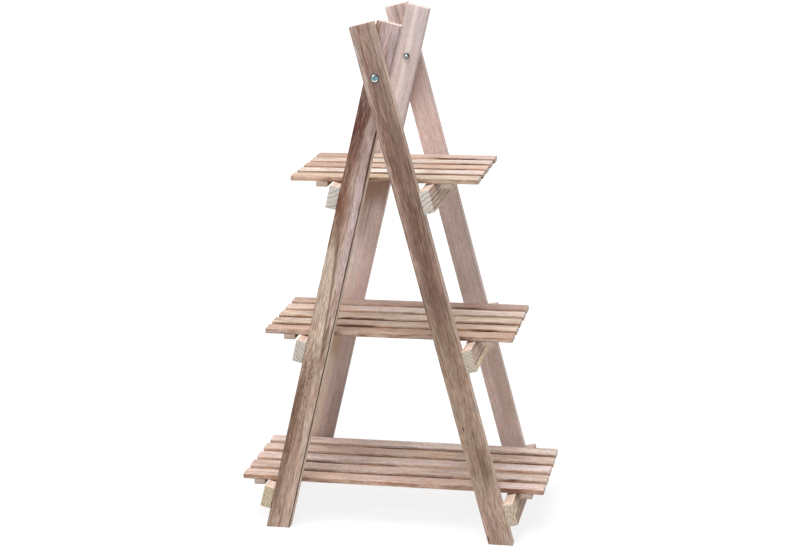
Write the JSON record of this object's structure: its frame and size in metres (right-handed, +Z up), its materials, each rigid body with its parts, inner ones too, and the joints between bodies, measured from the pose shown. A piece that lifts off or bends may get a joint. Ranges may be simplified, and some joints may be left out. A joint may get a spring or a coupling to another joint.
{
  "type": "plant ladder stand",
  "caption": "Folding wooden plant stand: crossed leg frames on pivot bolts carry lift-off slatted shelves, short at the top and long at the bottom.",
  "frame": {"origin": "on the floor under the middle of the stand, the bottom centre of its box", "axes": "+X along the shelves towards the outer frame's feet, +Y across the stand from the near side to the far side, +Z up"},
  "size_m": [0.5862, 0.3342, 0.9757],
  "materials": {
    "brushed_leg_wood": "brushed, oiled",
    "rail_wood": "sawn, oiled",
    "slat_wood": "brushed, oiled",
    "batten_wood": "sawn, oiled",
    "zinc_steel": "bright zinc",
    "nail_steel": "plain"
  },
  "bodies": {
    "outer_frame": {"near_outer_leg": "brushed_leg_wood", "far_outer_leg": "brushed_leg_wood", "outer_bottom_rail": "rail_wood", "outer_middle_rail": "rail_wood", "outer_top_rail": "rail_wood", "outer_frame_nails": "nail_steel", "near_pivot_bolt": "zinc_steel", "near_nut_washer": "zinc_steel", "near_pivot_nut": "zinc_steel", "far_pivot_bolt": "zinc_steel", "far_nut_washer": "zinc_steel", "far_pivot_nut": "zinc_steel"},
    "inner_frame": {"near_inner_leg": "brushed_leg_wood", "far_inner_leg": "brushed_leg_wood", "inner_bottom_rail": "rail_wood", "inner_middle_rail": "rail_wood", "inner_top_rail": "rail_wood", "inner_frame_nails": "nail_steel"},
    "bottom_shelf": {"bottom_shelf_slat_1": "slat_wood", "bottom_shelf_slat_2": "slat_wood", "bottom_shelf_slat_3": "slat_wood", "bottom_shelf_slat_4": "slat_wood", "bottom_shelf_slat_5": "slat_wood", "bottom_shelf_left_batten": "batten_wood", "bottom_shelf_right_batten": "batten_wood", "bottom_shelf_brads": "nail_steel"},
    "middle_shelf": {"middle_shelf_slat_1": "slat_wood", "middle_shelf_slat_2": "slat_wood", "middle_shelf_slat_3": "slat_wood", "middle_shelf_slat_4": "slat_wood", "middle_shelf_slat_5": "slat_wood", "middle_shelf_left_batten": "batten_wood", "middle_shelf_right_batten": "batten_wood", "middle_shelf_brads": "nail_steel"},
    "top_shelf": {"top_shelf_slat_1": "slat_wood", "top_shelf_slat_2": "slat_wood", "top_shelf_slat_3": "slat_wood", "top_shelf_slat_4": "slat_wood", "top_shelf_slat_5": "slat_wood", "top_shelf_left_batten": "batten_wood", "top_shelf_right_batten": "batten_wood", "top_shelf_brads": "nail_steel"}
  },
  "joints": [
    {"name": "frame_fold", "type": "hinge", "parent": "outer_frame", "child": "inner_frame", "pos_m": [0, 0, 0.87521], "axis": [0, -1, 0], "range_deg": [0, 27.5]},
    {"name": "top_shelf_lift", "type": "slide", "parent": "outer_frame", "child": "top_shelf", "axis": [0, 0, 1], "range_m": [0, 0.32]},
    {"name": "middle_shelf_lift", "type": "slide", "parent": "outer_frame", "child": "middle_shelf", "axis": [0, 0, 1], "range_m": [0, 0.22]},
    {"name": "bottom_shelf_lift", "type": "slide", "parent": "outer_frame", "child": "bottom_shelf", "axis": [0, 0, 1], "range_m": [0, 0.21]}
  ]
}
